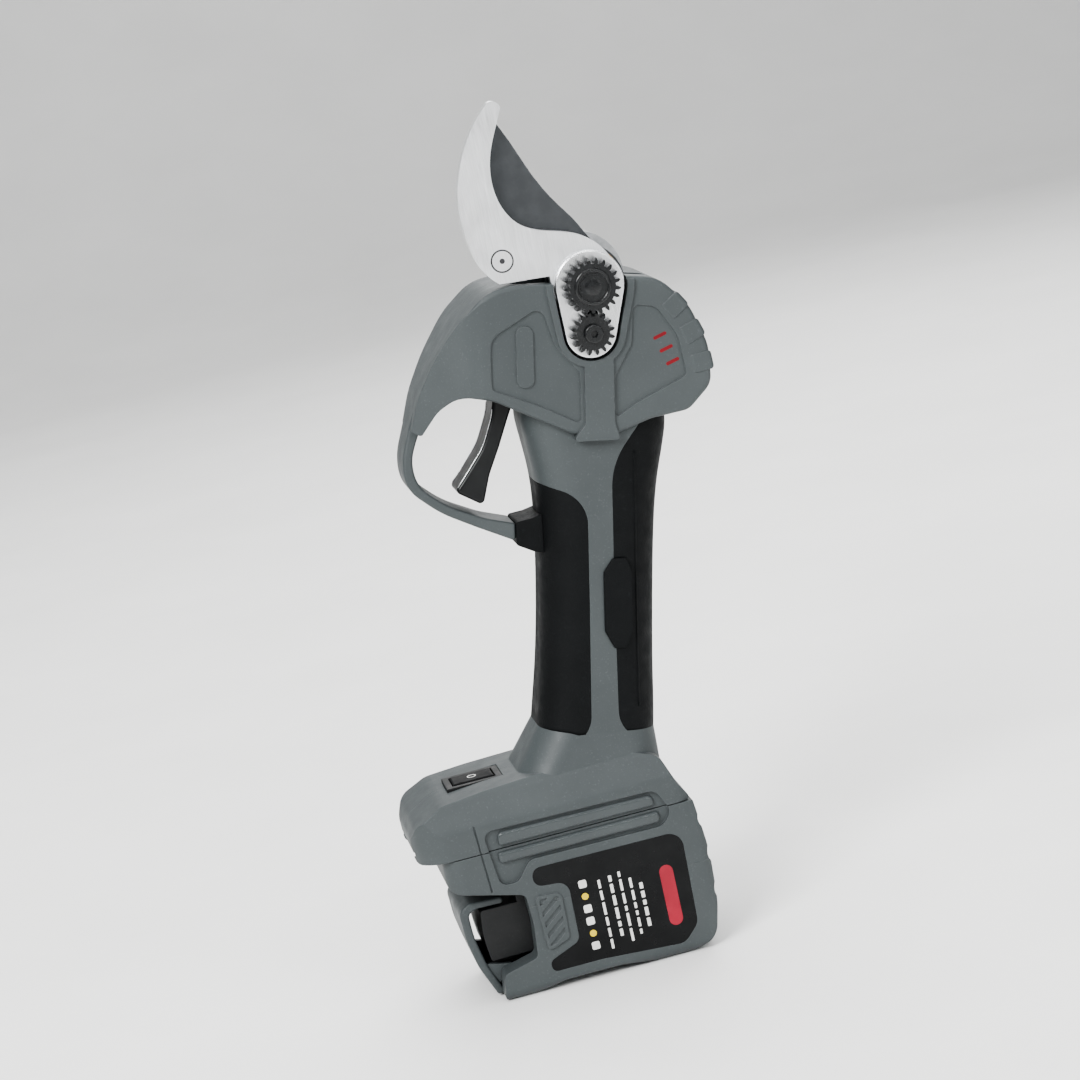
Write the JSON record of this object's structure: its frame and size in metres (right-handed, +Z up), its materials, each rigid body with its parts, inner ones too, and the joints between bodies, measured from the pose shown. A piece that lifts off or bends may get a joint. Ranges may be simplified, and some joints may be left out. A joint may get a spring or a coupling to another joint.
{
  "type": "battery electric pruner",
  "caption": "Powered hand pruner: fixed hook and moving blade on a pistol handle with guarded trigger, bevel and planetary drive, standing on a slide-on battery pack.",
  "frame": {"origin": "on the floor under the front lip of the battery, in the mid plane", "axes": "+Z up, +X towards the palm side (back) of the handle, +Y towards the right flank; the trigger faces -X"},
  "size_m": [0.1291, 0.0492, 0.2857],
  "materials": {
    "shell_grey": "fine matt moulded plastic",
    "shell_dark_grey": "matt moulded plastic",
    "rubber_black": "matt soft rubber",
    "steel_bright": "satin ground steel",
    "steel_coated": "dark low friction coating",
    "steel_black": "black oxide",
    "steel_plate": "polished plate",
    "bronze": "sintered bronze",
    "cast_alloy": "die cast",
    "gear_steel": "machined steel",
    "board_green": "solder mask",
    "copper": "bare contact metal",
    "wire_red": "wire insulation",
    "cell_wrap": "shrink wrap",
    "label_black": "printed film",
    "white_plastic": "moulded plastic"
  },
  "bodies": {
    "handle": {"handle_shell_left": "shell_grey", "handle_shell_right": "shell_grey", "front_grip_left": "rubber_black", "front_grip_right": "rubber_black", "rear_grip_left": "rubber_black", "rear_grip_right": "rubber_black", "grip_side_pads": "rubber_black", "guard_socket": "rubber_black", "shell_screws": "steel_black", "counter_blade": "steel_bright", "clamp_plate": "steel_plate", "tension_nut": "steel_black", "lock_pinion": "steel_black", "lock_screw": "steel_black", "pivot_bolt": "gear_steel", "thrust_washers": "bronze", "gear_housing": "cast_alloy", "pinion_bearings": "gear_steel", "ring_gear_case": "gear_steel", "motor_can": "steel_plate", "motor_leads": "wire_red", "trigger_pin": "gear_steel", "trigger_spring": "gear_steel", "hall_sensor_board": "board_green", "switch_bezel": "shell_dark_grey", "switch_board": "board_green", "control_board": "board_green", "terminal_block": "white_plastic", "terminal_blades": "copper"},
    "blade": {"cutting_blade": "steel_coated", "blade_gear": "gear_steel", "blade_dowels": "gear_steel", "pivot_bush": "bronze"},
    "pinion_shaft": {"bevel_pinion": "gear_steel", "planet_carrier": "gear_steel"},
    "planet_1": {"planet_gear_1": "gear_steel"},
    "planet_2": {"planet_gear_2": "gear_steel"},
    "planet_3": {"planet_gear_3": "gear_steel"},
    "rotor": {"sun_gear": "gear_steel", "motor_rotor": "gear_steel"},
    "trigger": {"trigger": "shell_dark_grey", "trigger_magnet": "gear_steel"},
    "power_button": {"power_button": "label_black"},
    "battery": {"battery_tub": "shell_grey", "battery_lid": "shell_grey", "battery_labels": "label_black", "battery_cells": "cell_wrap", "cell_tabs": "copper", "cell_frames": "white_plastic", "battery_board": "board_green", "latch_pin": "gear_steel", "latch_spring": "gear_steel", "latch_well": "shell_dark_grey"},
    "latch": {"battery_latch": "shell_grey"}
  },
  "joints": [
    {"name": "blade_pivot", "type": "hinge", "parent": "handle", "child": "blade", "pos_m": [0.07313, 0, 0.22274], "axis": [0, 1, 0], "range_deg": [0, 48]},
    {"name": "pinion_spin", "type": "hinge", "parent": "handle", "child": "pinion_shaft", "pos_m": [0.07313, 0, 0.22274], "axis": [0.1668, 0, 0.986], "range_deg": [-160.5, 0.5]},
    {"name": "rotor_spin", "type": "hinge", "parent": "handle", "child": "rotor", "pos_m": [0.07313, 0, 0.22274], "axis": [0.1668, 0, 0.986], "range_deg": [-721, 1]},
    {"name": "planet_1_spin", "type": "hinge", "parent": "pinion_shaft", "child": "planet_1", "pos_m": [0.0663, 0.00675, 0.18232], "axis": [0.1668, 0, 0.986], "range_deg": [-1, 449]},
    {"name": "planet_2_spin", "type": "hinge", "parent": "pinion_shaft", "child": "planet_2", "pos_m": [0.06053, -0.00337, 0.18329], "axis": [0.1668, 0, 0.986], "range_deg": [-1, 449]},
    {"name": "planet_3_spin", "type": "hinge", "parent": "pinion_shaft", "child": "planet_3", "pos_m": [0.07206, -0.00337, 0.18134], "axis": [0.1668, 0, 0.986], "range_deg": [-1, 449]},
    {"name": "trigger_pull", "type": "hinge", "parent": "handle", "child": "trigger", "pos_m": [0.04216, 0, 0.19913], "axis": [0, -1, 0], "range_deg": [0, 12], "stiffness_Nm_per_rad": 0.25, "springref_deg": -14.32, "deforming": ["trigger_spring"]},
    {"name": "power_press", "type": "slide", "parent": "handle", "child": "power_button", "axis": [0, 0, -1], "range_m": [0, 0.0006], "stiffness_N_per_m": 800, "springref_m": -0.0006},
    {"name": "battery_slide", "type": "slide", "parent": "handle", "child": "battery", "axis": [-1, 0, 0], "range_m": [0, 0.075]},
    {"name": "latch_squeeze", "type": "hinge", "parent": "battery", "child": "latch", "pos_m": [0.0008, 0, 0.0076], "axis": [0, 1, 0], "range_deg": [0, 7], "stiffness_Nm_per_rad": 0.2, "springref_deg": -11.46}
  ],
  "couplings": [
    {"joint": "pinion_spin", "follows": "blade_pivot", "ratio": -3.3333},
    {"joint": "rotor_spin", "follows": "blade_pivot", "ratio": -15},
    {"joint": "planet_1_spin", "follows": "blade_pivot", "ratio": 9.3333},
    {"joint": "planet_2_spin", "follows": "blade_pivot", "ratio": 9.3333},
    {"joint": "planet_3_spin", "follows": "blade_pivot", "ratio": 9.3333}
  ]
}
